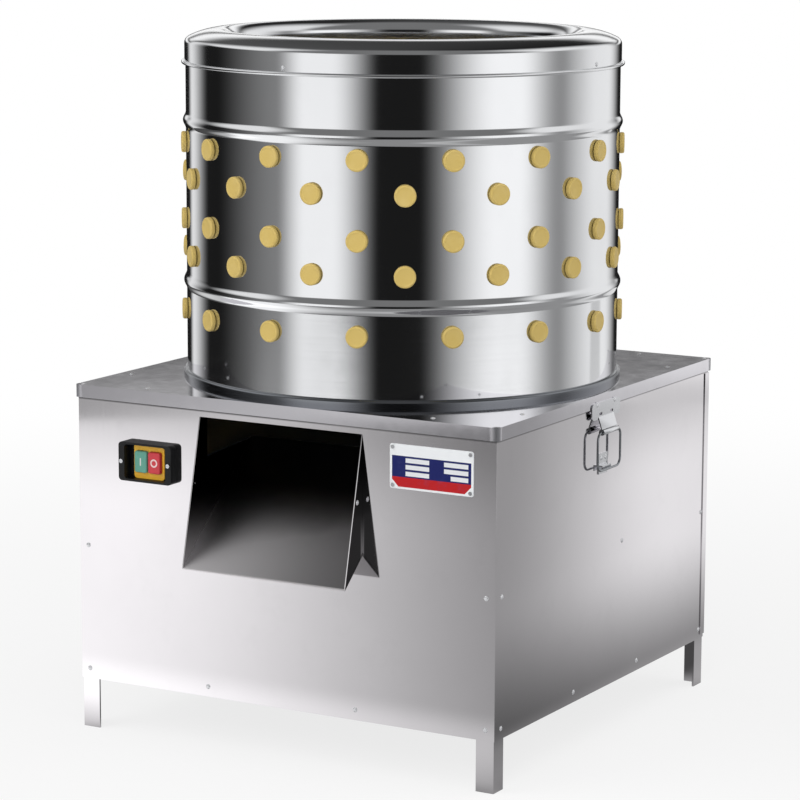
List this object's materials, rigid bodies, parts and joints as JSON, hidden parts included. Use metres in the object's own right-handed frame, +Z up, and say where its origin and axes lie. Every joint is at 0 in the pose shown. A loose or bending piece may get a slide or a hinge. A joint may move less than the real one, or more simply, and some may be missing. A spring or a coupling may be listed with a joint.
{
  "type": "poultry plucker",
  "caption": "Drum poultry plucker: rubber-fingered stainless drum with a spinning turntable over a square cabinet with feather chute, switch and motor drive.",
  "frame": {"origin": "under the middle of the machine, on the floor", "axes": "+Z up; -Y towards the feather chute and the switch; +X to the right of someone facing the front"},
  "size_m": [0.6198, 0.644, 0.88],
  "materials": {
    "stainless_steel": "mirror polished sheet",
    "machine_steel": "turned",
    "yellow_rubber": "moulded, satin",
    "black_rubber": "matte",
    "motor_paint": "semi-gloss",
    "black_plastic": "moulded, fine grain",
    "yellow_plastic": "gloss",
    "green_plastic": "gloss",
    "red_plastic": "gloss",
    "printed_plate": "printed, blank"
  },
  "bodies": {
    "cabinet": {"leg_front_left": "stainless_steel", "leg_front_right": "stainless_steel", "leg_back_left": "stainless_steel", "leg_back_right": "stainless_steel", "front_panel": "stainless_steel", "left_panel": "stainless_steel", "right_panel": "stainless_steel", "back_cover": "stainless_steel", "base_frame": "stainless_steel", "rear_rail": "stainless_steel", "beam_front": "stainless_steel", "beam_rear": "stainless_steel", "mounting_plate": "stainless_steel", "feather_pan": "stainless_steel", "feather_chute": "stainless_steel", "spindle_housing": "machine_steel", "spindle_bearings": "machine_steel", "v_belt": "black_rubber", "motor_body": "motor_paint", "motor_flange": "motor_paint", "fan_cover": "motor_paint", "terminal_box": "black_plastic", "cabinet_rivets": "stainless_steel", "back_screws": "stainless_steel", "switch_box": "black_plastic", "switch_bezel": "yellow_plastic", "switch_screws": "stainless_steel", "nameplate": "printed_plate", "nameplate_rivets": "stainless_steel", "latch_keeper_right": "stainless_steel", "latch_keeper_left": "stainless_steel", "cable_gland": "black_plastic", "frame_bolts": "stainless_steel"},
    "drum_unit": {"lid": "stainless_steel", "lid_frame": "stainless_steel", "drum": "stainless_steel", "drum_base_ring": "stainless_steel", "cap_ring": "stainless_steel", "finger_row_1": "yellow_rubber", "finger_row_2": "yellow_rubber", "finger_row_3": "yellow_rubber", "finger_row_4": "yellow_rubber", "finger_row_5": "yellow_rubber", "cap_screws": "stainless_steel", "lid_rivets": "stainless_steel", "latch_plate_right": "stainless_steel", "latch_plate_left": "stainless_steel"},
    "turntable_unit": {"spindle_shaft": "machine_steel", "driven_pulley": "machine_steel", "hub": "stainless_steel", "hub_bolts": "stainless_steel", "turntable": "stainless_steel", "turntable_fingers": "yellow_rubber"},
    "motor_rotor": {"motor_shaft": "machine_steel", "motor_pulley": "machine_steel", "motor_fan": "black_plastic"},
    "start_key": {"start_button": "green_plastic"},
    "stop_key": {"stop_button": "red_plastic"},
    "bail_right": {"latch_bail_right": "machine_steel"},
    "bail_left": {"latch_bail_left": "machine_steel"}
  },
  "joints": [
    {"name": "drum_lift", "type": "slide", "parent": "cabinet", "child": "drum_unit", "axis": [0, 0, 1], "range_m": [0, 0.2]},
    {"name": "turntable_spin", "type": "hinge", "parent": "cabinet", "child": "turntable_unit", "pos_m": [0, 0.016, 0.3], "axis": [0, 0, 1], "continuous": true},
    {"name": "motor_spin", "type": "hinge", "parent": "cabinet", "child": "motor_rotor", "pos_m": [0, 0.201, 0.2], "axis": [0, 0, 1], "continuous": true},
    {"name": "start_press", "type": "slide", "parent": "cabinet", "child": "start_key", "axis": [0, 1, 0], "range_m": [0, 0.003], "stiffness_N_per_m": 400},
    {"name": "stop_press", "type": "slide", "parent": "cabinet", "child": "stop_key", "axis": [0, 1, 0], "range_m": [0, 0.003], "stiffness_N_per_m": 400},
    {"name": "bail_swing_right", "type": "hinge", "parent": "drum_unit", "child": "bail_right", "pos_m": [0.306, -0.002, 0.396], "axis": [0, -1, 0], "range_deg": [0, 120]},
    {"name": "bail_swing_left", "type": "hinge", "parent": "drum_unit", "child": "bail_left", "pos_m": [-0.306, -0.002, 0.396], "axis": [0, 1, 0], "range_deg": [0, 120]}
  ],
  "couplings": [
    {"joint": "motor_spin", "follows": "turntable_spin", "ratio": 4.4444}
  ]
}
